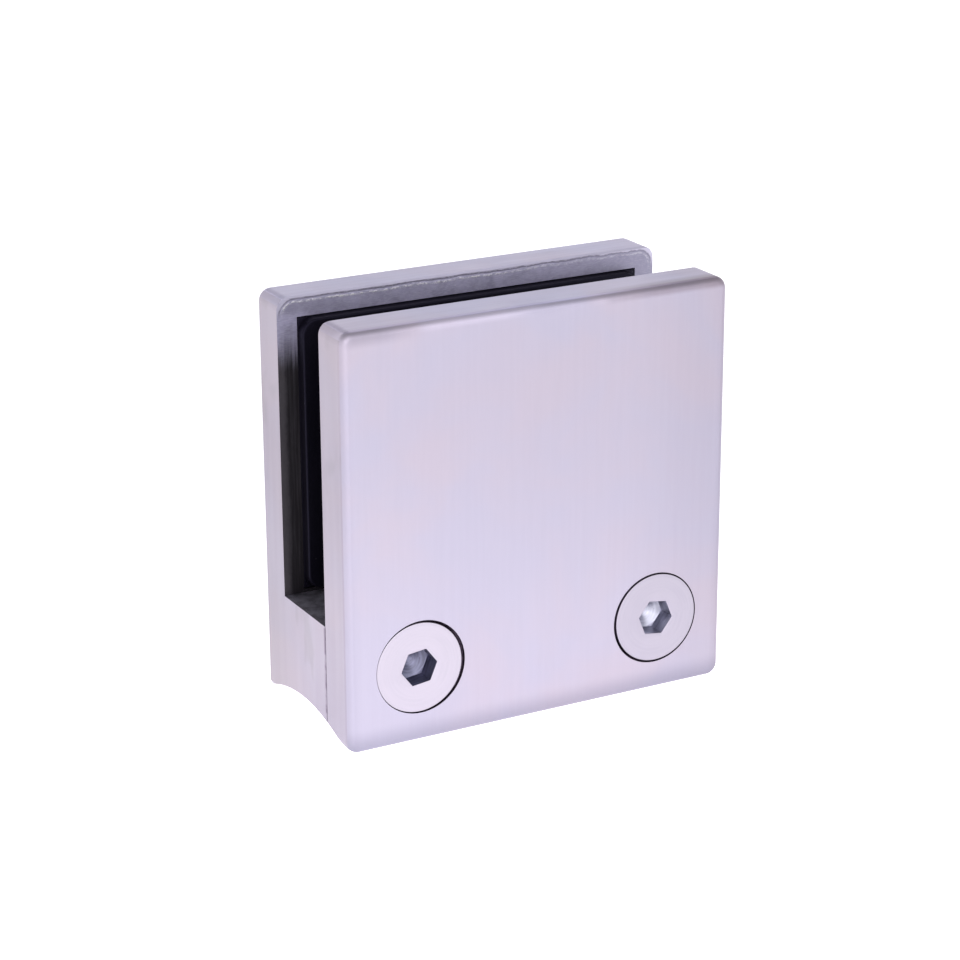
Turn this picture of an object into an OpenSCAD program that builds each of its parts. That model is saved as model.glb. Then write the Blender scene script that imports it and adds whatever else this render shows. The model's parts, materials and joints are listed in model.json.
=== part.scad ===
// Glass panel clamp for a tubular rail or post.
// A cast body and a cast cover grip the edge of a glass panel between two
// rubber pads. Two flat-head screws hold the cover to the body, and one bolt
// through the floor of the slot holds the body to the tube in its saddle.
//
// X runs along the glass edge, Y through the glass from the cover to the back
// plate, and Z up out of the saddle. The origin is at the middle of the clamp's
// width and depth, level with the lip of the saddle under the cover.

/* [Body] */
// Width of the clamp along the glass edge
clamp_w = 50; // [44:0.5:80]
// Height from the saddle's lip to the top of both plates
clamp_h = 50; // [40:0.5:80]
// Clear depth of the slot between the two plates
slot_d = 11.1; // [9:0.1:16]
// Height of the slot's floor above the saddle's lip
floor_h = 13.9; // [12.7:0.1:18]
// Thickness of the plate behind the glass
back_t = 5.6; // [4.6:0.1:8]
// Radius of the four corners seen from the front
corner_r = 1.5; // [1.2:0.1:4]
// Radius of the edges round the two outer faces
edge_r = 0.9; // [0.4:0.1:1.1]
// Chamfer on each plate's inner top edge, where the glass goes in
mouth_chamfer = 0.2; // [0.1:0.1:0.8]

/* [Cover] */
// Thickness of the screwed-on plate in front of the glass
cover_t = 5.6; // [5:0.1:8]
// Gap left between the cover and the body's base by their cast faces
seam_gap = 0.1; // [0.05:0.05:0.3]

/* [Saddle] */
// Outer diameter of the tube that the clamp sits on
tube_d = 48.3; // [42.4:0.1:76.1]
// Radial clearance between the saddle and the tube
tube_clear = 0.1; // [0:0.05:0.5]
// Distance from the middle of the slot back to the tube's axis
tube_back = 0.8; // [0:0.1:1]
// Distance from the cover's face in to the saddle's front lip
front_lip_in = 0.55; // [0.2:0.05:0.7]
// Radius that rounds the saddle's back lip off
back_lip_r = 1.5; // [1.2:0.1:2.8]

/* [Fixing bolt] */
// Thread size of the bolt that holds the body to the tube
bolt_d = 6; // [5:1:8]
// Radial clearance between that bolt and its hole
bolt_clear = 0.3; // [0.2:0.05:0.5]

/* [Cover screws] */
// Distance from each side of the clamp in to a screw's axis
screw_inset = 9.15; // [7.5:0.05:11]
// Height of the screws above the saddle's lip
screw_z = 9.1; // [8.4:0.1:9.4]
// Thread size of the cover screws
screw_d = 6; // [5:0.5:6]
// Length of a screw from its head's face to its tip
screw_len = 16; // [13:0.5:17]
// Diameter of the screw's flat head
head_d = 10.9; // [9.5:0.1:12]
// Height of the straight rim round the head, above its cone
head_rim_h = 0.4; // [0.2:0.05:0.6]
// Depth of the head's face below the cover's face
head_sink = 0.05; // [0:0.05:0.2]
// Width of the hexagon key across its flats
key_af = 4; // [3:0.5:4]
// Depth of the hexagon socket
key_depth = 2.4; // [1.8:0.1:2.6]
// Radial clearance of the thread in the body's tapped hole
thread_clear = 0.05; // [0.02:0.01:0.1]
// Radial clearance of the screw's shank in the cover
shank_clear = 0.3; // [0.2:0.05:0.5]
// Radial gap between the head and its countersink
head_gap = 0.15; // [0.1:0.05:0.3]
// Depth of the tapped hole beyond the screw's tip
tap_run_out = 1.6; // [1:0.1:2]
// Angle at which the left screw's hexagon came to rest
left_turn = 7; // [-30:1:30]
// Angle at which the right screw's hexagon came to rest
right_turn = -5; // [-30:1:30]

/* [Pads] */
// Width of the metal rim round each pad's recess
rim_w = 2.5; // [1.5:0.1:4]
// Height of the recess's lower edge above the slot's floor
rim_low = 0.4; // [0.3:0.1:2]
// Depth of the recess in each plate
recess_d = 1.2; // [0.8:0.1:1.6]
// Height that a pad stands proud of its plate
pad_proud = 1.15; // [0.5:0.05:2]
// Gap between a pad's flange and the wall of its recess
pad_clear = 0.1; // [0.05:0.05:0.3]
// Radius of the corners of the pad's raised face
pad_corner_r = 1.8; // [1:0.1:3]

/* [Hidden] */

steel = [0.80, 0.77, 0.82];
bright_steel = [0.86, 0.84, 0.88];
rubber = [0.08, 0.08, 0.09];

// Drawn facets of the round edges and of the bores
ROUND_FN = 32;
BORE_FN = 72;
// Length that each cutter runs past the face it leaves by
PAST = 1;

// Stations through the glass, from the cover's face at the front to the back
depth = cover_t + slot_d + back_t;
front_y = -depth / 2;
seam_y = front_y + cover_t;
base_y = seam_y + seam_gap;
plate_y = seam_y + slot_d;
back_y = depth / 2;
// Middle of the slot, where the bolt stands
slot_y = (seam_y + plate_y) / 2;

// Saddle: its surface passes through the front lip, which is at Z = 0
saddle_r = tube_d / 2 + tube_clear;
saddle_y = slot_y + tube_back;
lip_out = saddle_y - (front_y + front_lip_in);
saddle_z = -sqrt(pow(saddle_r, 2) - pow(lip_out, 2));
// The edge round of the front face comes down to that lip, so the uncut blank
// starts a little below it
blank_z = sqrt(pow(edge_r, 2) - pow(edge_r - front_lip_in, 2)) - edge_r;
// Back lip: its round comes down level where it meets the saddle
back_lip_y = back_y - back_lip_r;
back_lip_out = back_lip_y - saddle_y;
back_lip_z = saddle_z + sqrt(pow(saddle_r, 2) - pow(back_lip_out, 2)) + back_lip_r;

// Pads and their recesses
recess_w = clamp_w - 2 * rim_w;
recess_low_z = floor_h + rim_low;
recess_top_z = clamp_h - rim_w;
pad_w = recess_w - 2 * pad_clear;
pad_low_z = recess_low_z + pad_clear;
pad_top_z = recess_top_z - pad_clear;

// Screws
screw_x = clamp_w / 2 - screw_inset;
head_r = head_d / 2;
thread_r = screw_d / 2;
// A flat head's cone stands at 45 degrees to the screw's axis
head_cone_h = head_r - thread_r;
sink_r = head_r + head_gap;
shank_hole_r = thread_r + shank_clear;
tapped_r = thread_r + thread_clear;
tap_end_y = front_y + head_sink + screw_len + tap_run_out;
// Drill point at the bottom of the tapped hole, 118 degrees across
drill_tip_h = tapped_r / tan(59);
// Lead-in chamfer at the screw's tip
tip_chamfer = 0.6;

// One corner of the blank: a short post along Y with rounded ends
module blank_corner() {
  rotate([-90, 0, 0])
    rotate_extrude($fn = ROUND_FN)
      hull() {
        square([corner_r - edge_r, depth]);
        for (end = [edge_r, depth - edge_r])
          translate([corner_r - edge_r, end])
            intersection() {
              circle(edge_r);
              translate([0, -edge_r])
                square(2 * edge_r);
            }
      }
}

// The outer form that the body and the cover share: a block with round corners
// and round outer edges
module blank() {
  hull()
    for (x = [corner_r - clamp_w / 2, clamp_w / 2 - corner_r])
      for (z = [blank_z + corner_r, clamp_h - corner_r])
        translate([x, front_y, z])
          blank_corner();
}

// Carries a side profile, drawn in Y and Z, along the whole width
module across() {
  rotate([90, 0, 90])
    translate([0, 0, -clamp_w / 2 - PAST])
      linear_extrude(clamp_w + 2 * PAST)
        children();
}

// The tube that the clamp sits on, as a cutter
module saddle_cut() {
  across()
    translate([saddle_y, saddle_z])
      circle(saddle_r, $fn = BORE_FN);
}

// Rounds the saddle's back lip off
module back_lip_cut() {
  across()
    difference() {
      translate([back_lip_y, blank_z - PAST])
        square([back_lip_r + PAST, back_lip_z - blank_z + PAST]);
      translate([back_lip_y, back_lip_z])
        circle(back_lip_r, $fn = BORE_FN);
    }
}

// Chamfer along a plate's inner top edge; side is +1 where the slot lies
// towards +Y of the plate
module mouth_cut(y, side) {
  across()
    polygon([
      [y - side * mouth_chamfer, clamp_h],
      [y - side * mouth_chamfer, clamp_h + PAST],
      [y + side * PAST, clamp_h + PAST],
      [y + side * PAST, clamp_h - mouth_chamfer],
      [y, clamp_h - mouth_chamfer]
    ]);
}

// The part of the clamp between two stations through the glass and above a height
module slice(y0, y1, z0) {
  translate([-clamp_w / 2 - PAST, y0, z0])
    cube([clamp_w + 2 * PAST, y1 - y0, clamp_h + PAST - z0]);
}

// Puts a shape drawn along +Z, from Z = 0, at a screw's axis, pointing into the
// body from the cover's face
module at_screw(x) {
  translate([x, front_y, screw_z])
    rotate([-90, 0, 0])
      children();
}

// Tapped hole for a cover screw, with its drill point
module tapped_hole(x) {
  at_screw(x) {
    cylinder(r = tapped_r, h = tap_end_y - front_y, $fn = BORE_FN);
    translate([0, 0, tap_end_y - front_y])
      cylinder(r1 = tapped_r, r2 = 0, h = drill_tip_h, $fn = BORE_FN);
  }
}

// Countersink and shank hole for a cover screw
module countersink(x) {
  at_screw(x)
    rotate_extrude($fn = BORE_FN)
      polygon([
        [0, -PAST],
        [sink_r, -PAST],
        [sink_r, head_sink + head_rim_h],
        [shank_hole_r, head_sink + head_rim_h + sink_r - shank_hole_r],
        [shank_hole_r, cover_t + PAST],
        [0, cover_t + PAST]
      ]);
}

// Recess for a pad's flange, from station y0 to y1
module recess(y0, y1) {
  translate([-recess_w / 2, y0, recess_low_z])
    cube([recess_w, y1 - y0, recess_top_z - recess_low_z]);
}

// Rubber pad drawn along +Z: a square flange in the recess and, on it, the
// raised face with round corners
module pad() {
  high = pad_top_z - pad_low_z;
  translate([-pad_w / 2, 0, 0])
    cube([pad_w, high, recess_d]);
  linear_extrude(recess_d + pad_proud)
    hull()
      for (x = [pad_corner_r - pad_w / 2, pad_w / 2 - pad_corner_r])
        for (y = [pad_corner_r, high - pad_corner_r])
          translate([x, y])
            circle(pad_corner_r, $fn = ROUND_FN);
}

// Flat-head screw with a hexagon socket, drawn along +Z from its head's face
module flat_head_screw() {
  difference() {
    rotate_extrude($fn = BORE_FN)
      polygon([
        [0, 0],
        [head_r, 0],
        [head_r, head_rim_h],
        [thread_r, head_rim_h + head_cone_h],
        [thread_r, screw_len - tip_chamfer],
        [thread_r - tip_chamfer, screw_len],
        [0, screw_len]
      ]);
    translate([0, 0, -PAST])
      cylinder(d = key_af / cos(30), h = key_depth + PAST, $fn = 6);
    // Drill point below the broached hexagon
    translate([0, 0, key_depth])
      cylinder(d1 = key_af, d2 = 0, h = key_af / 2 * tan(30), $fn = BORE_FN);
  }
}

module body() {
  color(steel)
    difference() {
      blank();
      saddle_cut();
      back_lip_cut();
      // Everything in front of the base, and the slot above its floor
      slice(front_y - PAST, base_y, blank_z - PAST);
      slice(front_y - PAST, plate_y, floor_h);
      mouth_cut(plate_y, -1);
      recess(plate_y - PAST, plate_y + recess_d);
      tapped_hole(-screw_x);
      tapped_hole(screw_x);
      translate([0, slot_y, 0])
        cylinder(r = bolt_d / 2 + bolt_clear, h = floor_h + PAST, $fn = BORE_FN);
    }
}

module cover() {
  color(steel)
    difference() {
      blank();
      saddle_cut();
      slice(seam_y, back_y + PAST, blank_z - PAST);
      mouth_cut(seam_y, 1);
      recess(seam_y - recess_d, seam_y + PAST);
      countersink(-screw_x);
      countersink(screw_x);
    }
}

module body_pad() {
  color(rubber)
    translate([0, plate_y + recess_d, pad_low_z])
      rotate([90, 0, 0])
        pad();
}

module cover_pad() {
  color(rubber)
    translate([0, seam_y - recess_d, pad_low_z])
      mirror([0, 1, 0])
        rotate([90, 0, 0])
          pad();
}

// A cover screw driven home, its hexagon turned by an angle seen from the front
module driven_screw(x, turn) {
  at_screw(x)
    translate([0, 0, head_sink])
      rotate([0, 0, -turn])
        flat_head_screw();
}

module left_screw() {
  color(bright_steel)
    driven_screw(-screw_x, left_turn);
}

module right_screw() {
  color(bright_steel)
    driven_screw(screw_x, right_turn);
}

body();
cover();
body_pad();
cover_pad();
left_screw();
right_screw();
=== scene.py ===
"""Looks of the glass panel clamp: satin ground castings, rough ground slot, rubber pads, flat head screws.

Every size is in millimetres until it goes into a mesh, where MM turns it into metres.
X runs along the glass edge, Y from the cover to the back plate and Z up out of the saddle.
"""
import json
import math

import bmesh
import bpy
import numpy as np
from mathutils import Euler, Matrix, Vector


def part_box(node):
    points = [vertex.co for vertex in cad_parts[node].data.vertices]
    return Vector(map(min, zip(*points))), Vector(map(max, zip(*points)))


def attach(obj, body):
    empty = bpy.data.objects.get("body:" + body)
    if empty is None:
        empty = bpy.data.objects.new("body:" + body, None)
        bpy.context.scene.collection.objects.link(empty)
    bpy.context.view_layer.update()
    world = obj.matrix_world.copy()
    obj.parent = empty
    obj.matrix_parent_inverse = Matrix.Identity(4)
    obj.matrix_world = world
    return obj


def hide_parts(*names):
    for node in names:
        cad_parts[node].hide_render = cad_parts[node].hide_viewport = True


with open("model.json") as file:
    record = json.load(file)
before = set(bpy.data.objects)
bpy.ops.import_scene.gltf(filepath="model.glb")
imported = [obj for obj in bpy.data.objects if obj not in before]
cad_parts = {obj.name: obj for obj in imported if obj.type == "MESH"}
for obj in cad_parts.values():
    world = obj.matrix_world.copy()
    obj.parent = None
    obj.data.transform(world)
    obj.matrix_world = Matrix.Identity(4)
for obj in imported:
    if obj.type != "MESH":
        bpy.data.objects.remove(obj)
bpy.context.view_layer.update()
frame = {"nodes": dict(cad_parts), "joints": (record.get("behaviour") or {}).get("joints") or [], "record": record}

MM = 0.001
TURN = 2 * math.pi
QUARTER = TURN / 4

# ---------------------------------------------------------------- sizes

body_low, body_high = [np.array(corner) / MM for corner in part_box("body")]
cover_low, cover_high = [np.array(corner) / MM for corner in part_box("cover")]
HALF_W = body_high[0]
TOP = body_high[2]
# Inner face of the cover, front of the body's base, and the back plate's face across the slot
SEAM_Y = cover_high[1]
BASE_Y = body_low[1]
PLATE_Y = -SEAM_Y
# Height of the slot's floor, depth of the pads' recesses and radius of the fixing bolt's hole
FLOOR = 13.9
RECESS_D = 1.2
BOLT_HOLE_R = 3.3
# Ground rims of the plates: the radius that their burr takes round the corners, how far in it stands, how far
# the groove lies outside it, whose dark line is painted shadow, and the height below which the rim is painted
# dark as the shade low in the slot
CORNER = 2.2
BURR_IN = 0.72
GROOVE_OUT = 0.32
SHADED_BELOW = 43.0
# Round on the castings' edges, and the sharpest bend in degrees that goes without it
WORN_EDGE = 0.12
WORN_ANGLE = 32
# Pads: radius of the raised wall's corners, how far it stands in from the flange, and the round on its edge
PAD_CORNER = 1.8
PAD_STEP = 0.10
PAD_EDGE = 0.22

# Screw axes, from the hinges that turn them: each starts on the cover's face and runs along +Y
SCREW_AXES = {
    joint["child"]: np.array(joint["pos_m"]) / MM
    for joint in frame["joints"]
    if joint["type"] == "hinge"
}
SCREW_LEN = 16.0
HEAD_R = 5.45
HEAD_RIM = 0.4
HEAD_SINK = 0.05
HEAD_EDGE = 0.05
# Hexagon socket: width across its flats, depth, radius of the hole drilled first, and the slope of its bottom
KEY_AF = 4.0
KEY_DEPTH = 2.4
DRILL_R = KEY_AF / 2 - 0.06
DRILL_SLOPE = math.tan(math.radians(31))
# Thread: pitch, nominal radius, crest and root of the screw, its tip, and the rings modelled in one pitch
PITCH = 1.0
THREAD_R = 3.0
CREST_R = THREAD_R - 0.02
THREAD_ROOT_R = 2.4
TIP_CHAMFER = 0.6
TIP_R = THREAD_R - 0.75
PITCH_RINGS = 16
# Tapped hole: its radius, the crest of its thread, and where that starts in the body and ends below the
# cover's face
TAPPED_R = 3.05
TAPPED_CREST_R = 2.55
TAPPED_START = 0.6
TAPPED_END = 16.9
# Countersinks: radius, how far the edge is worn out, and how far it is off its screw to the right and up
SINK_R = 5.6
COUNTERSINK_WORN = 0.08
COUNTERSINK_OFF = {"left_screw": (0.17, 0.05), "right_screw": (-0.15, 0.02)}
# Axis and radius of the saddle, from the mount that holds the tube
SADDLE_R = 24.25
SADDLE_Y, saddle_crest = [
    np.array(mount["pos_m"])[1:] / MM
    for mount in frame["record"]["mounts"]
    if mount["name"] == "tube_saddle"
][0]
SADDLE_Z = saddle_crest - SADDLE_R


# ---------------------------------------------------------------- camera

LENS_MM = 104.45
CAMERA_PLACE = (-0.14906, -0.27339, 0.13340)
# Degrees that the camera looks to the right of +Y and down, and that it rolls
LOOKS_RIGHT = 28.292
LOOKS_DOWN = 19.066
ROLLS = -0.271


def aim_camera():
    """A long lens to the left of the clamp and above it, looking to the right of +Y and down."""
    lens = bpy.data.cameras.new("studio_camera")
    lens.sensor_width = 36
    lens.lens = LENS_MM
    lens.clip_start, lens.clip_end = 0.01, 50
    camera = bpy.data.objects.new("studio_camera", lens)
    bpy.context.scene.collection.objects.link(camera)
    camera.location = CAMERA_PLACE
    heading = Euler((math.radians(90 - LOOKS_DOWN), 0, math.radians(-LOOKS_RIGHT))).to_matrix()
    camera.rotation_euler = (heading @ Matrix.Rotation(math.radians(ROLLS), 3, "Z")).to_euler()
    bpy.context.scene.camera = camera


aim_camera()
bpy.context.scene.view_settings.view_transform = "Standard"


# ---------------------------------------------------------------- shader maths and nodes

class Signal:
    """A number, colour or vector that a node gives out. Arithmetic on it adds Math nodes."""

    def __init__(self, finish, socket):
        self.finish, self.socket = finish, socket

    def maths(self, operation, first, second=0.5):
        """Adds one Math node."""
        return self.finish.node("ShaderNodeMath", {"operation": operation}, {0: first, 1: second})

    def __add__(self, other):
        return self.maths("ADD", self, other)

    def __sub__(self, other):
        return self.maths("SUBTRACT", self, other)

    def __rsub__(self, other):
        return self.maths("SUBTRACT", other, self)

    def __mul__(self, other):
        return self.maths("MULTIPLY", self, other)

    def __pow__(self, other):
        return self.maths("POWER", self, other)

    def __abs__(self):
        return self.maths("ABSOLUTE", self)

    __radd__, __rmul__ = __add__, __mul__

    def at_least(self, other):
        """The larger of this and another."""
        return self.maths("MAXIMUM", self, other)

    def ease(self, start, end, low=0.0, high=1.0):
        """Goes smoothly from low at start to high at end, and stays level past them."""
        return self.finish.node(
            "ShaderNodeMapRange",
            {"interpolation_type": "SMOOTHSTEP"},
            {0: self, 1: start, 2: end, 3: low, 4: high},
        )


class Finish:
    """A new material, or the light all round, under construction, with the nodes that it needs."""

    def __init__(self, material, shader="Principled BSDF"):
        self.material = material
        self.material.use_nodes = True
        self.tree = self.material.node_tree
        self.shader = self.tree.nodes[shader]

    def node(self, kind, settings=None, values=None, output=0):
        """Adds a node, makes its settings, then gives its sockets values or links; returns one output."""
        made = self.tree.nodes.new(kind)
        for key, setting in (settings or {}).items():
            setattr(made, key, setting)
        for key, value in (values or {}).items():
            self.feed(made.inputs[key], value)
        return Signal(self, made.outputs[output])

    def feed(self, socket, value):
        """Links a signal to a socket, or sets the socket's own number, colour or vector."""
        if isinstance(value, Signal):
            self.tree.links.new(value.socket, socket)
        elif socket.type == "RGBA":
            socket.default_value = (*value, 1)
        else:
            socket.default_value = value

    def place(self):
        """Object coordinates in millimetres."""
        metres = self.node("ShaderNodeTexCoord", output="Object")
        return self.stretch(metres, (1000, 1000, 1000))

    def stretch(self, vector, scale, shift=(0, 0, 0), turn=(0, 0, 0)):
        """Scales a vector, turns it and then shifts it."""
        return self.node(
            "ShaderNodeMapping",
            {},
            {"Vector": vector, "Location": shift, "Rotation": turn, "Scale": scale},
        )

    def parts(self, vector):
        """The X, Y and Z of a vector as three numbers."""
        split = self.node("ShaderNodeSeparateXYZ", {}, {0: vector}).socket.node
        return [Signal(self, output) for output in split.outputs]

    def noise(self, vector, scale, detail=2.0, roughness=0.5, warp=0.0):
        """Cloudy noise from 0 to 1, mostly near 0.5."""
        return self.node(
            "ShaderNodeTexNoise",
            {},
            {"Vector": vector, "Scale": scale, "Detail": detail, "Roughness": roughness, "Distortion": warp},
        )

    def blend(self, share, first, second):
        """Mixes two colours: the share is the second one's."""
        return self.node(
            "ShaderNodeMix",
            {"data_type": "RGBA", "blend_type": "MIX"},
            {0: share, 6: first, 7: second},
            output=2,
        )

    def bump(self, height, strength, distance):
        """Height is in units of distance, which is in millimetres."""
        return self.node(
            "ShaderNodeBump", {}, {"Strength": strength, "Distance": distance * MM, "Height": height}
        )

    def dress(self, **sockets):
        """Feeds the shader: names are its sockets with _ for a space."""
        for key, value in sockets.items():
            self.feed(self.shader.inputs[key.replace("_", " ")], value)
        return self.material


# ---------------------------------------------------------------- satin ground steel

# Warm and cool tone of the steel on the faces, the sides and the top: one steel, with each tone set for how
# light falls on that side, so that the sides carry painted shade
FACE_STEEL = [(0.444, 0.396, 0.480), (0.422, 0.396, 0.500)]
SHADED_SIDE_STEEL = [(0.352, 0.304, 0.366), (0.333, 0.301, 0.380)]
TOP_STEEL = [(0.431, 0.388, 0.508), (0.406, 0.388, 0.535)]
# What the grain and the streaks of grinding bring in
GRAIN_PALE = (0.86, 0.84, 0.90)
STREAK_DARK = (0.24, 0.20, 0.26)
# What painted shade, painted highlight and a brown mark bring in on the faces
FOOT_SHADE_GREY = (0.15, 0.15, 0.22)
RIGHT_SHADE_GREY = (0.16, 0.13, 0.16)
CORNER_SHADE_GREY = (0.18, 0.17, 0.22)
FILLET_HIGHLIGHT_PALE = (0.74, 0.68, 0.82)
BELT_BROWN = (0.12, 0.08, 0.09)
# What smudges, tone by height and depth, and dirt in the seam bring in on the sides
SMUDGE_GREY = (0.17, 0.17, 0.18)
BACK_LOW_GREY = (0.13, 0.13, 0.13)
HIGH_PALE = (0.52, 0.46, 0.53)
SEAM_DIRT = (0.12, 0.08, 0.14)
# What blotches, a darker right end on the cover and a brown edge bring in on the top
BLOTCH_GREY = (0.20, 0.18, 0.24)
END_GREY = (0.20, 0.17, 0.18)
EDGE_BROWN = (0.13, 0.09, 0.10)


def face_wear(finish, place, tone):
    """Painted shade: darker and bluer towards the foot, darker towards the right edge, and darker over the round
    of the top edge near the top left corner. Along the front's top edge, pale patches painted as highlight, and
    brown towards the right."""
    x, y, z = finish.parts(place)
    # Painted shade and bluish reflection towards the foot
    tone = finish.blend(z.ease(0.2, 3.2, 0.42, 0.0), tone, FOOT_SHADE_GREY)
    # Painted shade towards the right edge
    tone = finish.blend(x.ease(10.0, 24.0, 0.0, 0.10), tone, RIGHT_SHADE_GREY)
    # Painted shade over the round of the top edge near the top left corner, dimming its highlight
    corner = z.ease(TOP - 2.2, TOP - 0.9) * x.ease(-24.9, -23.4, 0.10, 1.0)
    corner = corner * x.ease(-21.5, -14.0, 0.36, 0.0)
    tone = finish.blend(corner, tone, CORNER_SHADE_GREY)
    top_edge = z.ease(TOP - 1.4, TOP - 0.7) * y.ease(-10.0, -8.0, 1.0, 0.0)
    # Pale patches along the round of the top edge are painted highlight
    highlight_patches = finish.noise(finish.stretch(place, (0.09, 0.3, 0.3)), 1.0, 2.0, 0.5)
    tone = finish.blend(highlight_patches.ease(0.42, 0.60, 0.0, 0.22) * top_edge, tone, FILLET_HIGHLIGHT_PALE)
    return finish.blend(top_edge * x.ease(2.0, 22.0, 0.0, 0.48), tone, BELT_BROWN)


def side_wear(finish, place, tone):
    """Grey smudges, darker towards the back and low down, paler up high, and dirt drawn into the seam under the
    slot in dashes."""
    _, y, z = finish.parts(place)
    dash = finish.noise(finish.stretch(place, (0.4, 0.4, 1.0)), 0.55, 3.0, 0.6)
    smudge = finish.noise(finish.stretch(place, (1, 1, 0.6)), 0.22, 2.0, 0.5, 0.3)
    near_seam = abs(y - (SEAM_Y + 0.2)).ease(0.06, 0.40, 1.0, 0.0) * z.ease(FLOOR - 0.3, FLOOR, 1.0, 0.0)
    tone = finish.blend(smudge.ease(0.60, 0.72, 0.0, 0.22), tone, SMUDGE_GREY)
    back_and_low = y.ease(1.0, 8.0, 0.0, 0.16) * z.ease(10.0, 24.0, 1.0, 0.3)
    tone = finish.blend(back_and_low, tone, BACK_LOW_GREY)
    tone = finish.blend(z.ease(26.0, 46.0, 0.0, 0.30), tone, HIGH_PALE)
    return finish.blend(near_seam * dash.ease(0.40, 0.56, 0.20, 0.75), tone, SEAM_DIRT)


def top_wear(finish, place, tone):
    """Blotches, and on the cover a darker right end and a brown front edge."""
    x, y, _ = finish.parts(place)
    blotch = finish.noise(finish.stretch(place, (0.35, 1.0, 1.0)), 0.5, 3.0, 0.6, 0.4)
    tone = finish.blend(blotch.ease(0.50, 0.72, 0.0, 0.10), tone, BLOTCH_GREY)
    cover_end = x.ease(12.0, 24.0, 0.0, 0.14) * y.ease(-6.0, -4.0, 1.0, 0.0)
    tone = finish.blend(cover_end, tone, END_GREY)
    front_edge = y.ease(-10.6, -8.6, 1.0, 0.0) * x.ease(4.0, 20.0, 0.0, 0.55)
    return finish.blend(front_edge, tone, EDGE_BROWN)


def rolled_edge(finish, place):
    """1 on the round edges of the outer faces, where the belt rolled over them, and 0 on the flats."""
    x, _, z = finish.parts(place)
    return abs(x).ease(HALF_W - 1.9, HALF_W - 0.7).at_least(z.ease(TOP - 1.9, TOP - 0.7))


def satin_steel(name, grain_scale, tones, wear, streak_share, relief, edge_dull=0.0):
    """Belt ground steel: fine grain drawn out along one axis, cloudy tone, faint marks of handling, and edges
    that are duller by edge_dull."""
    warm, cool = tones
    finish = Finish(bpy.data.materials.new(name))
    place = finish.place()
    grain = finish.noise(finish.stretch(place, grain_scale), 1.0, 3.0, 0.55)
    streak = finish.noise(finish.stretch(place, [s * 0.16 for s in grain_scale]), 1.0, 2.0, 0.5)
    cloud = finish.noise(place, 0.055, 3.0, 0.55, 0.6)
    handling = finish.noise(finish.stretch(place, (1, 1, 0.45)), 0.16, 4.0, 0.6, 0.4)
    tone = finish.blend(cloud.ease(0.35, 0.65), cool, warm)
    tone = finish.blend(grain.ease(0.25, 0.75, 0.0, 0.02), tone, GRAIN_PALE)
    tone = finish.blend(streak.ease(0.35, 0.65, 0.0, streak_share), tone, STREAK_DARK)
    tone = wear(finish, place, tone)
    rough = 0.37 + (grain - 0.5) * 0.08 + (handling - 0.5) * 0.14 + (streak - 0.5) * 0.06
    rough = rough + rolled_edge(finish, place) * edge_dull
    return finish.dress(
        Base_Color=tone,
        Metallic=1.0,
        Roughness=rough,
        Normal=finish.bump(grain * 0.6 + streak * 0.8, relief, 0.010),
    )


satin_face = satin_steel(
    "satin_face", (9.0, 9.0, 0.30), FACE_STEEL, face_wear, streak_share=0.02, relief=0.14, edge_dull=0.16
)
# The sides' steel is the same steel painted darker, as shade
shaded_satin_side = satin_steel(
    "shaded_satin_side", (9.0, 5.0, 0.20), SHADED_SIDE_STEEL, side_wear, streak_share=0.08, relief=0.20
)
satin_top = satin_steel(
    "satin_top", (0.35, 9.0, 9.0), TOP_STEEL, top_wear, streak_share=0.08, relief=0.25
)


# ---------------------------------------------------------------- hand ground rims

RIM_BRIGHT = (0.465, 0.44, 0.595)
RIM_DULL = (0.37, 0.352, 0.485)
RIM_SHADE = (0.22, 0.21, 0.27)
SCRATCH_PALE = (0.62, 0.60, 0.72)
# Painted light and shade on the rims: a worn strip pale as if lit, the groove's painted shadow, and near white
# glints on the burr and in the pits
WORN_LIT_PALE = (0.66, 0.63, 0.76)
GROOVE_SHADOW_DARK = (0.15, 0.14, 0.20)
BURR_GLINT = (1.0, 0.98, 1.0)
PIT_GLINT = (0.98, 0.96, 1.0)
# Painted shade on the rims low in the slot: at the outer edge, further in, and its streaks
SHADE_EDGE_TONE = (0.11, 0.100, 0.115)
SHADE_DEEP_TONE = (0.040, 0.036, 0.043)
SHADE_STREAK_TONE = (0.13, 0.12, 0.14)


def edge_distance(finish, place):
    """Distance in from the edge of a plate, seen from the front, up to CORNER millimetres: straight along the
    sides and the top, and round the corners between them."""
    x, _, z = finish.parts(place)
    past_side = (abs(x) - (HALF_W - CORNER)).at_least(0)
    past_top = (z - (TOP - CORNER)).at_least(0)
    return CORNER - (past_side * past_side + past_top * past_top) ** 0.5


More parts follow.
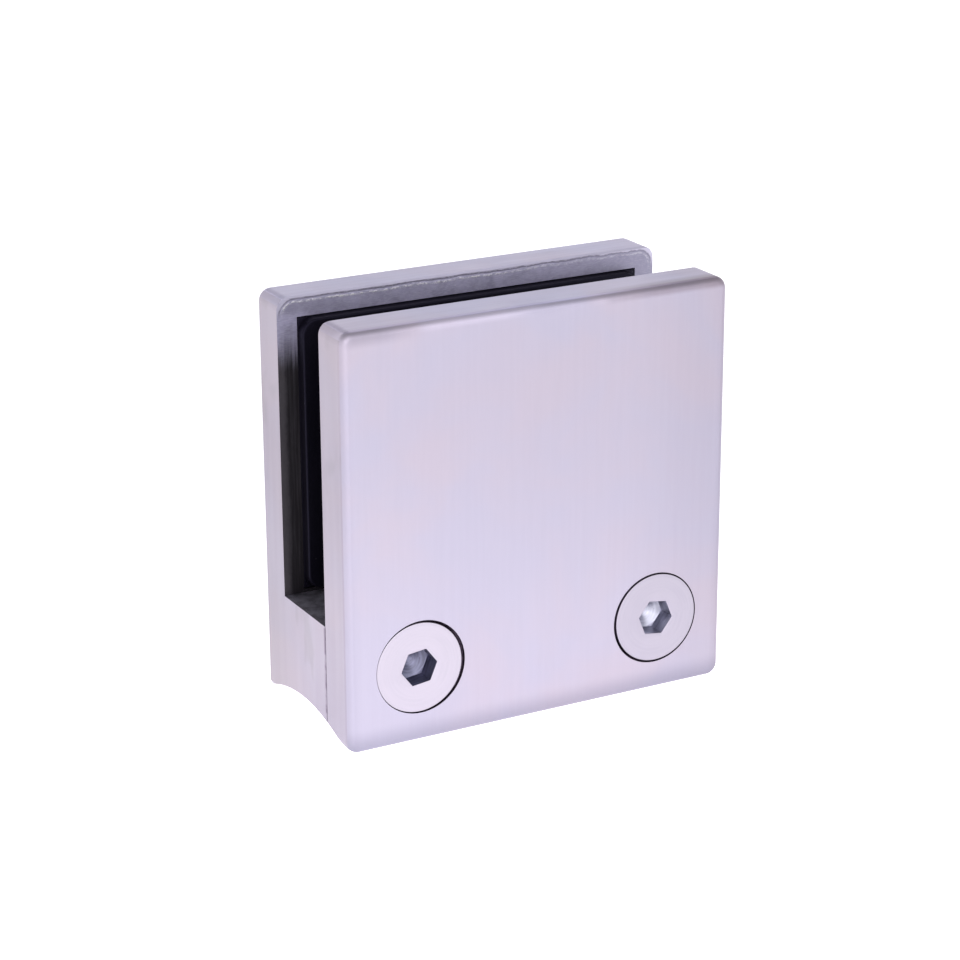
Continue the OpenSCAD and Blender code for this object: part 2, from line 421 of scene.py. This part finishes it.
def plate_inside(name):
    """The plates' inner rims: ground bright by hand high up, and painted dark below as the shade low in the slot.
    Along the top a torn burr wanders at BURR_IN from the edge, painted bright as a glint, with a groove outside
    it whose dark line is painted shadow, and nearer the edge a worn strip painted pale as if lit."""
    finish = Finish(bpy.data.materials.new(name))
    place = finish.place()
    x, _, height = finish.parts(place)
    skin = finish.noise(place, 0.8, 5.0, 0.6, 0.3)
    pits = finish.noise(place, 4.5, 3.0, 0.6)
    scratch = finish.noise(finish.stretch(place, (1.6, 1.6, 9.0), turn=(0, 0.5, 0)), 1.0, 3.0, 0.6)
    streak = finish.noise(finish.stretch(place, (3.0, 3.0, 0.12)), 1.0, 3.0, 0.6)
    ragged = finish.noise(place, 1.1, 4.0, 0.7)
    torn = finish.noise(finish.stretch(place, (1.0, 1.0, 1.6)), 2.6, 4.0, 0.7)
    wander = finish.noise(place, 0.22, 2.0, 0.5)
    inset = edge_distance(finish, place) + (ragged - 0.5) * 0.45 + (wander - 0.5) * 0.55
    upper = height.ease(TOP - 2.6, TOP - 1.4)
    burr = abs(inset - BURR_IN).ease(0.02, 0.17, 1.0, 0.0) * upper * x.ease(-4.0, 18.0, 1.0, 0.25)
    burr = burr * torn.ease(0.42, 0.60, 0.08, 1.0)
    groove = abs(inset - (BURR_IN - GROOVE_OUT)).ease(0.02, 0.18, 1.0, 0.0)
    groove = groove * ragged.ease(0.34, 0.48, 0.5, 1.0) * upper
    worn = inset.ease(BURR_IN - 0.45, BURR_IN - 0.10, 1.0, 0.0) * upper
    # Below this wavering height the rim is painted dark as the shade low in the slot
    ground = (height + (streak - 0.5) * 3.5).ease(SHADED_BELOW - 2.0, SHADED_BELOW + 3.0)
    tone = finish.blend(skin.ease(0.30, 0.65), RIM_DULL, RIM_BRIGHT)
    tone = finish.blend(scratch.ease(0.46, 0.62, 0.0, 0.40), tone, SCRATCH_PALE)
    tone = finish.blend(x.ease(8.0, 24.0, 0.0, 0.50), tone, RIM_SHADE)
    tone = finish.blend(x.ease(-23.0, -13.0, 0.30, 0.0) * upper, tone, RIM_SHADE)
    # The worn strip outside the burr is painted pale, as if its edge were lit from above
    tone = finish.blend(worn * 0.7, tone, WORN_LIT_PALE)
    # The painted shade, darker further in from the edge and streaked
    slot_shade = finish.blend(inset.ease(0.5, 1.2), SHADE_EDGE_TONE, SHADE_DEEP_TONE)
    slot_shade = finish.blend(streak.ease(0.40, 0.70, 0.0, 0.35), slot_shade, SHADE_STREAK_TONE)
    tone = finish.blend(ground, slot_shade, tone)
    # The groove's dark line is painted shadow of the burr, and the burr's near white is a painted glint
    tone = finish.blend(groove * 0.65, tone, GROOVE_SHADOW_DARK)
    tone = finish.blend(burr * 0.9, tone, BURR_GLINT)
    # The pale specks in the pits are painted glints
    tone = finish.blend(pits.ease(0.68, 0.76, 0.0, 0.9) * ground, tone, PIT_GLINT)
    rough = 0.60 + (skin - 0.5) * 0.16 - pits.ease(0.60, 0.75) * 0.15 - burr * 0.15
    relief = skin * 0.3 + scratch * 0.3 + streak * 0.3 + pits * 0.4 + burr * 0.7 - groove
    return finish.dress(
        Base_Color=tone, Metallic=1.0, Roughness=rough, Normal=finish.bump(relief, 0.5, 0.04)
    )


plate_rim = plate_inside("ground_plate_rim")


# ---------------------------------------------------------------- other finishes

def cast_skin(name, dark, pale, speck):
    """Bare casting: dull, mottled and finely pitted."""
    finish = Finish(bpy.data.materials.new(name))
    place = finish.place()
    skin = finish.noise(place, 0.75, 5.0, 0.7, 0.3)
    pits = finish.noise(place, 3.5, 3.0, 0.6)
    tone = finish.blend(skin.ease(0.35, 0.65), dark, pale)
    tone = finish.blend(pits.ease(0.60, 0.75, 0.0, 0.5), tone, speck)
    rough = 0.55 + (skin - 0.5) * 0.25
    return finish.dress(
        Base_Color=tone, Metallic=1.0, Roughness=rough, Normal=finish.bump(skin + pits * 0.4, 0.8, 0.06)
    )


def bored_steel(name, dark, pale):
    """Machined surface: fine tool marks side by side along X."""
    finish = Finish(bpy.data.materials.new(name))
    place = finish.place()
    marks = finish.noise(finish.stretch(place, (22.0, 0.15, 0.15)), 1.0, 3.0, 0.6)
    cloud = finish.noise(place, 0.25, 3.0)
    tone = finish.blend(marks.ease(0.3, 0.7), dark, pale)
    rough = 0.30 + marks * 0.12 + cloud * 0.10
    return finish.dress(
        Base_Color=tone, Metallic=1.0, Roughness=rough, Normal=finish.bump(marks, 0.4, 0.02)
    )


def moulded_rubber(name, black, worn_black, dust_grey):
    """Black moulded rubber with a fine matt skin and a little dust."""
    finish = Finish(bpy.data.materials.new(name))
    place = finish.place()
    skin = finish.noise(place, 9.0, 3.0, 0.6)
    wave = finish.noise(finish.stretch(place, (1, 1, 0.3)), 0.4, 3.0)
    dust = finish.noise(place, 3.2, 2.0, 0.5)
    tone = finish.blend(wave.ease(0.3, 0.7), black, worn_black)
    tone = finish.blend(dust.ease(0.74, 0.82, 0.0, 0.35), tone, dust_grey)
    rough = 0.42 + skin * 0.15 + wave * 0.08
    return finish.dress(
        Base_Color=tone,
        Metallic=0.0,
        Roughness=rough,
        Specular_IOR_Level=0.24,
        Specular_Tint=(0.62, 0.57, 1.0),
        Normal=finish.bump(skin, 0.4, 0.03),
    )


def turned_steel(name, dark, pale, rough_middle, ring_depth):
    """Turned or rolled steel: rings that follow the profile, read from the piece's own map."""
    finish = Finish(bpy.data.materials.new(name))
    around = finish.node("ShaderNodeUVMap", {"uv_map": "turning"})
    rings = finish.noise(finish.stretch(around, (3.0, 26.0, 1.0)), 1.0, 2.0, 0.6)
    cloud = finish.noise(finish.place(), 0.5, 3.0)
    tone = finish.blend(rings.ease(0.3, 0.7), dark, pale)
    rough = rough_middle + (rings - 0.5) * 0.10 + (cloud - 0.5) * 0.16
    return finish.dress(
        Base_Color=tone, Metallic=1.0, Roughness=rough, Normal=finish.bump(rings, 0.4, ring_depth)
    )


casting_skin = cast_skin("casting_skin", (0.24, 0.225, 0.28), (0.42, 0.40, 0.48), (0.60, 0.57, 0.68))
# The countersinks' cone is painted near black, as the shade in the gap round each head
shaded_countersink = cast_skin("shaded_countersink", (0.05, 0.035, 0.06), (0.12, 0.09, 0.13), (0.18, 0.15, 0.20))
bored = bored_steel("bored_steel", (0.44, 0.42, 0.49), (0.54, 0.51, 0.60))
rubber = moulded_rubber(
    "moulded_rubber", (0.0006, 0.0004, 0.0012), (0.0018, 0.0014, 0.0030), (0.20, 0.19, 0.22)
)
# The right head's steel is the same steel painted darker, as shade
bright_head = turned_steel("bright_head", (0.455, 0.422, 0.500), (0.480, 0.442, 0.522), 0.36, 0.002)
shaded_head = turned_steel("shaded_head", (0.405, 0.376, 0.455), (0.428, 0.396, 0.474), 0.36, 0.002)
# One socket steel: the left socket's copy painted darker as shade, the right's lighter as lit
shaded_socket = turned_steel("shaded_socket", (0.15, 0.15, 0.21), (0.27, 0.27, 0.38), 0.50, 0.010)
lit_socket = turned_steel("lit_socket", (0.34, 0.34, 0.41), (0.48, 0.48, 0.57), 0.36, 0.015)
screw_thread = turned_steel("screw_thread", (0.50, 0.49, 0.54), (0.60, 0.58, 0.64), 0.28, 0.01)


# ---------------------------------------------------------------- mesh helpers

def grid_faces(rows, columns):
    """Quads between the points of a grid whose columns run round and close on themselves."""
    row, column = np.meshgrid(np.arange(rows - 1), np.arange(columns), indexing="ij")
    after = (column + 1) % columns
    here, beyond = row * columns, (row + 1) * columns
    return np.stack([here + column, here + after, beyond + after, beyond + column], axis=-1).reshape(-1, 4)


def add_object(name, mesh):
    """Puts a mesh or a lamp into the scene, unturned at the origin, and returns its object."""
    piece = bpy.data.objects.new(name, mesh)
    bpy.context.scene.collection.objects.link(piece)
    return piece


def add_piece(name, points, faces, materials, face_material=None, uv=None):
    """Makes a closed mesh in metres from points in millimetres, merges its doubles and turns its faces
    outwards."""
    mesh = bpy.data.meshes.new(name)
    mesh.from_pydata((np.asarray(points).reshape(-1, 3) * MM).tolist(), [], faces.tolist())
    for material in materials:
        mesh.materials.append(material)
    if face_material is not None:
        mesh.polygons.foreach_set("material_index", np.asarray(face_material, np.int32))
    if uv is not None:
        layer = mesh.uv_layers.new(name="turning")
        layer.data.foreach_set("uv", uv.reshape(-1).astype(np.float32))
    close_mesh(mesh)
    return add_object(name, mesh)


def close_mesh(mesh):
    """Merges doubles, drops faces without area and makes the faces point outwards."""
    shape = bmesh.new()
    shape.from_mesh(mesh)
    bmesh.ops.remove_doubles(shape, verts=shape.verts, dist=2e-7)
    bmesh.ops.dissolve_degenerate(shape, edges=shape.edges, dist=1e-8)
    bmesh.ops.recalc_face_normals(shape, faces=shape.faces)
    shape.to_mesh(mesh)
    shape.free()


def smooth_by_angle(piece, degrees):
    """Shades a piece smooth, apart from edges that bend by more than so many degrees."""
    piece.data.polygons.foreach_set("use_smooth", np.ones(len(piece.data.polygons), bool))
    piece.data.set_sharp_from_angle(angle=math.radians(degrees))


def seat(piece, body, slot, *nodes):
    """Puts a piece on its body and hides the solids that it stands for; slot, the name of its finish, is not used.
    """
    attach(piece, body)
    if nodes:
        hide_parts(*nodes)


# ---------------------------------------------------------------- castings

def casting(node, name):
    """The solid's own faces, with flat ones joined up, as a new piece."""
    mesh = frame["nodes"][node].data.copy()
    mesh.name = name
    shape = bmesh.new()
    shape.from_mesh(mesh)
    bmesh.ops.remove_doubles(shape, verts=shape.verts, dist=1e-6)
    bmesh.ops.dissolve_limit(
        shape,
        angle_limit=math.radians(0.4),
        verts=shape.verts,
        edges=shape.edges,
        use_dissolve_boundaries=False,
    )
    shape.to_mesh(mesh)
    shape.free()
    return add_object(name, mesh)


def face_facts(mesh):
    """Centres in millimetres and normals of every face."""
    count = len(mesh.polygons)
    centres, normals = np.zeros(count * 3, np.float32), np.zeros(count * 3, np.float32)
    mesh.polygons.foreach_get("center", centres)
    mesh.polygons.foreach_get("normal", normals)
    return centres.reshape(-1, 3) / MM, normals.reshape(-1, 3)


def give_finishes(piece, *rules):
    """Gives each face the material of the last rule that holds for it; a rule is a material and a mask."""
    mesh = piece.data
    mesh.materials.clear()
    index = np.zeros(len(mesh.polygons), np.int32)
    for number, (material, mask) in enumerate(rules):
        mesh.materials.append(material)
        index[mask] = number
    mesh.polygons.foreach_set("material_index", index)


def near_screw(centres, radius):
    """True for faces whose centres lie within a radius of a screw's axis."""
    off_axis = [
        np.hypot(centres[:, 0] - axis[0], centres[:, 2] - axis[2]) for axis in SCREW_AXES.values()
    ]
    return np.min(off_axis, axis=0) < radius


def round_edges(piece):
    """Rounds a casting's edges with a narrow bevel, and keeps its flat faces flat in the shading."""
    bevel = piece.modifiers.new("worn_edges", "BEVEL")
    bevel.width = WORN_EDGE * MM
    bevel.segments = 2
    bevel.limit_method = "ANGLE"
    bevel.angle_limit = math.radians(WORN_ANGLE)
    bevel.use_clamp_overlap = True
    bevel.harden_normals = False
    weigh = piece.modifiers.new("flat_faces", "WEIGHTED_NORMAL")
    weigh.keep_sharp = True
    weigh.weight = 60


def move_countersinks(mesh):
    """The cover's countersinks sit a hair off the screws, so that the gap round each head is uneven: the
    points of each edge move by its offset, and out from the screw's axis by the wear."""
    points = np.zeros(len(mesh.vertices) * 3, np.float32)
    mesh.vertices.foreach_get("co", points)
    points = points.reshape(-1, 3)
    grown = COUNTERSINK_WORN / SINK_R
    for node, (right, up) in COUNTERSINK_OFF.items():
        axis = SCREW_AXES[node]
        across, out = points[:, 0] / MM - axis[0], points[:, 2] / MM - axis[2]
        edge = (np.abs(np.hypot(across, out) - SINK_R) < 0.05) & (points[:, 1] / MM < axis[1] + 1)
        points[edge, 0] += (right + grown * across[edge]) * MM
        points[edge, 2] += (up + grown * out[edge]) * MM
    mesh.vertices.foreach_set("co", points.reshape(-1))


def finish_castings():
    """The body and the cover: each face gets its finish by where it lies and which way it faces, and the
    edges are worn round."""
    for node, name in (("body", "body_casting"), ("cover", "cover_casting")):
        piece = casting(node, name)
        centres, normals = face_facts(piece.data)
        x, y, z = centres.T
        facing = np.abs(normals)
        in_saddle = np.abs(np.hypot(y - SADDLE_Y, z - SADDLE_Z) - SADDLE_R) < 0.15
        in_slot = (np.abs(y) < PLATE_Y + RECESS_D + 0.02) & (np.abs(x) < HALF_W - 0.05)
        plate = in_slot & (z > FLOOR + 0.05)
        floor = in_slot & (np.abs(z - FLOOR) < 0.05)
        seam = (facing[:, 1] > 0.9) & (np.abs(y) < PLATE_Y + 0.2) & (z < FLOOR)
        screw_hole = near_screw(centres, SINK_R + 0.02) & (facing[:, 1] < 0.9)
        countersink = screw_hole & (y < SEAM_Y - 0.1)
        bolt_hole = (np.hypot(x, y) < BOLT_HOLE_R + 0.1) & (facing[:, 2] < 0.5)
        give_finishes(
            piece,
            (satin_face, np.ones(len(centres), bool)),
            (shaded_satin_side, facing[:, 0] > 0.9),
            (satin_top, facing[:, 2] > 0.8),
            (plate_rim, plate),
            (casting_skin, floor | seam),
            (bored, in_saddle | screw_hole | bolt_hole),
            (shaded_countersink, countersink),
        )
        if node == "cover":
            move_countersinks(piece.data)
        smooth_by_angle(piece, 28)
        round_edges(piece)
        seat(piece, node, "clamp_steel", node)


# ---------------------------------------------------------------- pads

def rounded_rings(half_w, half_h, radius, per_corner=10, per_side=24):
    """Outlines of rectangles with round corners: each corner is a quarter circle about a point one radius in
    from both sides, and each side is the straight line to the next corner. Each ring is a row of points."""
    half_w, half_h, radius = (np.asarray(v, float)[:, None] for v in (half_w, half_h, radius))
    turns = np.linspace(0, QUARTER, per_corner)
    arcs = []
    for quarter, (side_x, side_y) in enumerate([(1, 1), (-1, 1), (-1, -1), (1, -1)]):
        angle = turns + quarter * QUARTER
        across = side_x * (half_w - radius) + radius * np.cos(angle)
        up = side_y * (half_h - radius) + radius * np.sin(angle)
        arcs.append(np.stack([across, up], axis=-1))
    share = np.linspace(0, 1, per_side + 2)[1:-1][None, :, None]
    loops = []
    for arc, after in zip(arcs, arcs[1:] + arcs[:1]):
        start, end = arc[:, -1:, :], after[:, :1, :]
        loops += [arc, start + (end - start) * share]
    return np.concatenate(loops, axis=1)


def rubber_pad(name, node, body, toward):
    """A pad as nested rings: across the back, up the flange's side, up the raised wall with its round edge
    and in over the face. Each ring is a rounded rectangle set in from the flange, at a height over the
    recess."""
    low, high = [np.array(corner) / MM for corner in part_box(node)]
    half_w, half_h = (high[0] - low[0]) / 2, (high[2] - low[2]) / 2
    total = high[1] - low[1]
    bend = np.linspace(0, QUARTER, 6)
    # Each stretch has three rows: how far in its rings are set, their heights, and their corners' radii
    back = [half_h, 12, 6, 2, 0.05, 0], [0, 0, 0, 0, 0, 0.05], [0, 0, 0, 0, 0.1, 0.1]
    flange = [0, 0.05, 0.03], [RECESS_D - 0.05, RECESS_D, RECESS_D], [0.1, 0.1, PAD_CORNER]
    wall = [PAD_STEP], [RECESS_D + 0.3], [PAD_CORNER]
    edge = (
        PAD_STEP + PAD_EDGE * (1 - np.cos(bend)),
        total - PAD_EDGE + PAD_EDGE * np.sin(bend),
        [PAD_CORNER] * len(bend),
    )
    face = [1, 2.5, 6, 12, half_h], [total] * 5, [1.2, 0.6, 0, 0, 0]
    inset, height, radius = (np.concatenate(rows) for rows in zip(back, flange, wall, edge, face))
    rings = rounded_rings(half_w - inset, half_h - inset, np.minimum(radius, half_h - inset))
    recess_bottom = high[1] if toward < 0 else low[1]
    points = np.empty((*rings.shape[:2], 3))
    points[..., 0] = rings[..., 0] + (low[0] + high[0]) / 2
    points[..., 1] = recess_bottom + toward * height[:, None]
    points[..., 2] = rings[..., 1] + (low[2] + high[2]) / 2
    piece = add_piece(name, points, grid_faces(*rings.shape[:2]), [rubber])
    smooth_by_angle(piece, 40)
    seat(piece, body, "pad_rubber", node)


# ---------------------------------------------------------------- screws and threads

SCREW_COLUMNS = 96
# Order of a screw's three finishes
FACE, SOCKET, THREAD = range(3)


def hexagon(angle, apothem):
    """Radius of a hexagon: the apothem over the cosine of the angle from the middle of the nearest flat."""
    return apothem / np.cos((angle % (TURN / 6)) - TURN / 12)


def thread_groove(phase):
    """Depth of a 60 degree thread, 0 on the crest and 1 at the root, from the place along the pitch."""
    off_crest = np.abs((phase / PITCH + 0.5) % 1.0 - 0.5) * PITCH
    return np.clip((off_crest - PITCH / 16) / (PITCH * 5 / 16), 0, 1)


def to_clamp(points, axis):
    """From a screw's own frame, with Z from its head's face to its tip, to the clamp's."""
    x, y, z = points[..., 0], points[..., 1], points[..., 2]
    return np.stack([x + axis[0], z + axis[1], axis[2] - y], axis=-1)


def screw_rings(angle, turn):
    """The rings of a flat head screw, each with its radius, its depth below the head's face and its finish.
    They start at the drilled bottom of the socket and go up its hexagon, out over the head, down the rim and
    the cone, and down the thread to the tip. The thread's radius falls with the groove's depth, whose place
    along the pitch is the distance along the screw less the pitch times the share of a turn."""
    hexed = hexagon(angle + math.radians(turn), KEY_AF / 2)
    yield 0, KEY_DEPTH + DRILL_R * DRILL_SLOPE, SOCKET
    yield DRILL_R * 0.5, KEY_DEPTH + DRILL_R * 0.5 * DRILL_SLOPE, SOCKET
    yield DRILL_R, KEY_DEPTH, SOCKET
    for depth in (KEY_DEPTH - 0.04, 1.6, 0.8, 0.07):
        yield hexed, depth, SOCKET
    yield hexed + 0.01, 0.03, SOCKET
    yield hexed + 0.025, 0.01, FACE
    yield hexed + 0.05, 0.0, FACE
    yield 2.9, 0.0, FACE
    yield HEAD_R - 0.6, 0.0, FACE
    for bend in np.linspace(0, QUARTER, 4):
        yield HEAD_R - HEAD_EDGE + HEAD_EDGE * math.sin(bend), HEAD_EDGE - HEAD_EDGE * math.cos(bend), FACE
    yield HEAD_R, HEAD_RIM, FACE
    cone_end = HEAD_RIM + HEAD_R - THREAD_R
    yield HEAD_R - 0.06, HEAD_RIM + 0.06, FACE
    yield THREAD_R + 0.25, cone_end - 0.25, FACE
    yield THREAD_R - 0.05, cone_end + 0.15, FACE
    for depth in np.arange(cone_end + 0.4, SCREW_LEN + 1e-6, PITCH / PITCH_RINGS):
        run_in = np.clip((depth - cone_end - 0.6) / 0.9, 0, 1)
        groove = thread_groove(depth - PITCH * angle / TURN)
        radius = CREST_R - run_in * groove * (CREST_R - THREAD_ROOT_R)
        yield np.minimum(radius, CREST_R - (depth - (SCREW_LEN - TIP_CHAMFER))), depth, THREAD
    yield TIP_R, SCREW_LEN, THREAD
    yield 0, SCREW_LEN, THREAD


def turning_map(points):
    """A map for turned surfaces, with a place for each corner of each quad: U is the share of a turn and V
    the distance along the profile in centimetres."""
    rows, columns = points.shape[:2]
    steps = np.linalg.norm(np.diff(points[:, 0], axis=0), axis=-1)
    along = np.concatenate([[0], np.cumsum(steps)])
    row, column = np.meshgrid(np.arange(rows - 1), np.arange(columns), indexing="ij")
    u = np.stack([column, column + 1, column + 1, column], axis=-1) / columns
    v = along[np.stack([row, row, row + 1, row + 1], axis=-1)] / 10
    return np.stack([u, v], axis=-1)


def flat_head_screw(node, name, turn, face, socket):
    """A screw turned from its rings: each point lies at its ring's radius, at an angle round the axis."""
    angle = np.linspace(0, TURN, SCREW_COLUMNS, endpoint=False)
    radii, depths, finishes = zip(*screw_rings(angle, turn))
    radius = np.array([np.broadcast_to(ring, angle.shape) for ring in radii])
    depth = np.broadcast_to(np.array(depths)[:, None], radius.shape)
    points = np.stack([radius * np.cos(angle), radius * np.sin(angle), depth], axis=-1)
    piece = add_piece(
        name,
        to_clamp(points + [0, 0, HEAD_SINK], SCREW_AXES[node]),
        grid_faces(*radius.shape),
        [face, socket, screw_thread],
        np.repeat(finishes[1:], SCREW_COLUMNS),
        turning_map(points),
    )
    smooth_by_angle(piece, 35)
    seat(piece, node, "screw_steel", node)


def tapped_thread(node, name):
    """The ridge of a tapped thread: a four sided bar, narrow at its crest and wide where it is sunk into the
    hole's wall, carried along a helix that climbs one pitch a turn and tapers to the wall at both ends."""
    axis = SCREW_AXES[node]
    start = BASE_Y - axis[1] + TAPPED_START
    turns = (TAPPED_END - start) / PITCH
    along = np.linspace(0, turns, int(turns * 64))
    angle = along * TURN
    taper = np.clip(np.minimum(along, turns - along) / 0.35, 0, 1)
    low_crest = TAPPED_R + 0.03
    crest = low_crest - taper * (low_crest - TAPPED_CREST_R)
    base = np.full_like(angle, TAPPED_R + 0.06)
    half_crest, half_base = 0.14, 0.43
    corners = [(base, -half_base), (crest, -half_crest), (crest, half_crest), (base, half_base)]
    # The root of the screw's thread lies half a pitch on from its crest
    lift = start + along * PITCH + (0.5 * PITCH - start) % PITCH
    points = np.stack(
        [
            np.stack([radius * np.cos(angle), radius * np.sin(angle), lift + shift], axis=-1)
            for radius, shift in corners
        ],
        axis=1,
    )
    last = (len(along) - 1) * 4
    ends = [[3, 2, 1, 0], [last, last + 1, last + 2, last + 3]]
    faces = np.concatenate([grid_faces(len(along), 4), ends])
    piece = add_piece(name, to_clamp(points, axis), faces, [bored])
    smooth_by_angle(piece, 40)
    seat(piece, "body", "clamp_steel")


finish_castings()
rubber_pad("body_pad_moulding", "body_pad", "body", -1)
rubber_pad("cover_pad_moulding", "cover_pad", "cover", 1)
flat_head_screw("left_screw", "left_flat_head_screw", 7, bright_head, shaded_socket)
flat_head_screw("right_screw", "right_flat_head_screw", -8, shaded_head, lit_socket)
tapped_thread("left_screw", "left_tapped_thread")
tapped_thread("right_screw", "right_tapped_thread")


# ---------------------------------------------------------------- studio

# The floor's glow: its level far off, its level and tint near the clamp, and the middle of that
FLOOR_GLOW = 0.60
NEAR_GLOW = 1.15
NEAR_TINT = (1.0, 0.985, 0.98)
GLOW_MIDDLE = (-35, -15, 0)
# The floor itself: how far it reaches, in metres, and how far it lies below the clamp
FLOOR_REACH = 3.0
FLOOR_GAP = 0.02
# Light from the walls and the ceiling all round
WALL_LIGHT = 1.33
CEILING_LIGHT = 0.58
# Softboxes: name, place and size in metres, watts and colour. All of them face the middle of the clamp
CLAMP_MIDDLE = (0, 0, 0.025)
SOFTBOXES = [
    ("front_softbox", (-0.15, -0.95, 0.28), 1.10, 5.7, (1.0, 0.99, 1.0)),
    ("back_softbox", (-0.25, 0.90, 0.55), 0.12, 0.35, (1.0, 0.99, 1.0)),
    ("top_softbox", (0.54, 0.52, 0.94), 0.60, 0.9, (1.0, 0.98, 1.0)),
]


def lay_floor():
    """A wide pale sheet under the clamp, seen from above only, so that the underside can be looked at."""
    mesh = bpy.data.meshes.new("studio_floor")
    level = (min(cover_low[2], body_low[2]) - FLOOR_GAP) * MM
    corners = [(-FLOOR_REACH, -FLOOR_REACH), (FLOOR_REACH, -FLOOR_REACH)]
    corners += [(FLOOR_REACH, FLOOR_REACH), (-FLOOR_REACH, FLOOR_REACH)]
    mesh.from_pydata([(x, y, level) for x, y in corners], [], [(0, 1, 2, 3)])
    floor = add_object("studio_floor", mesh)
    finish = Finish(bpy.data.materials.new("studio_floor"))
    x, y, _ = finish.parts(finish.stretch(finish.place(), (1, 1, 1), [-offset for offset in GLOW_MIDDLE]))
    far = ((x * x + y * y) ** 0.5).ease(10, 150)
    glow = finish.blend(far, [NEAR_GLOW * tint for tint in NEAR_TINT], [FLOOR_GLOW] * 3)
    finish.dress(Base_Color=(0.86, 0.86, 0.86), Roughness=0.9, Emission_Color=glow, Emission_Strength=1.0)
    underside = finish.node("ShaderNodeNewGeometry", output="Backfacing")
    sheet = Signal(finish, finish.shader.outputs[0])
    clear = finish.node("ShaderNodeBsdfTransparent")
    one_sided = finish.node("ShaderNodeMixShader", {}, {0: underside, 1: sheet, 2: clear})
    finish.feed(finish.tree.nodes["Material Output"].inputs[0], one_sided)
    mesh.materials.append(finish.material)


def add_softbox(name, place, size, watts, colour):
    """A square lamp at a place, turned to face the middle of the clamp."""
    light = bpy.data.lights.new(name, "AREA")
    light.shape = "SQUARE"
    light.size, light.energy, light.color = size, watts, colour
    lamp = add_object(name, light)
    lamp.location = place
    aim = np.array(CLAMP_MIDDLE) - np.array(place)
    flat = math.hypot(aim[0], aim[1])
    lamp.rotation_euler = (math.atan2(flat, -aim[2]), 0, math.atan2(aim[1], aim[0]) - QUARTER)


def light_studio():
    """Softboxes, and light from all round that falls off from the walls to the ceiling."""
    sky = Finish(bpy.data.worlds.new("studio"), "Background")
    bpy.context.scene.world = sky.material
    height = sky.parts(sky.node("ShaderNodeTexCoord", output="Generated"))[2]
    sky.dress(Color=(0.98, 0.985, 1.0), Strength=height.ease(0.15, 0.70, WALL_LIGHT, CEILING_LIGHT))
    for softbox in SOFTBOXES:
        add_softbox(*softbox)


lay_floor()
light_studio()
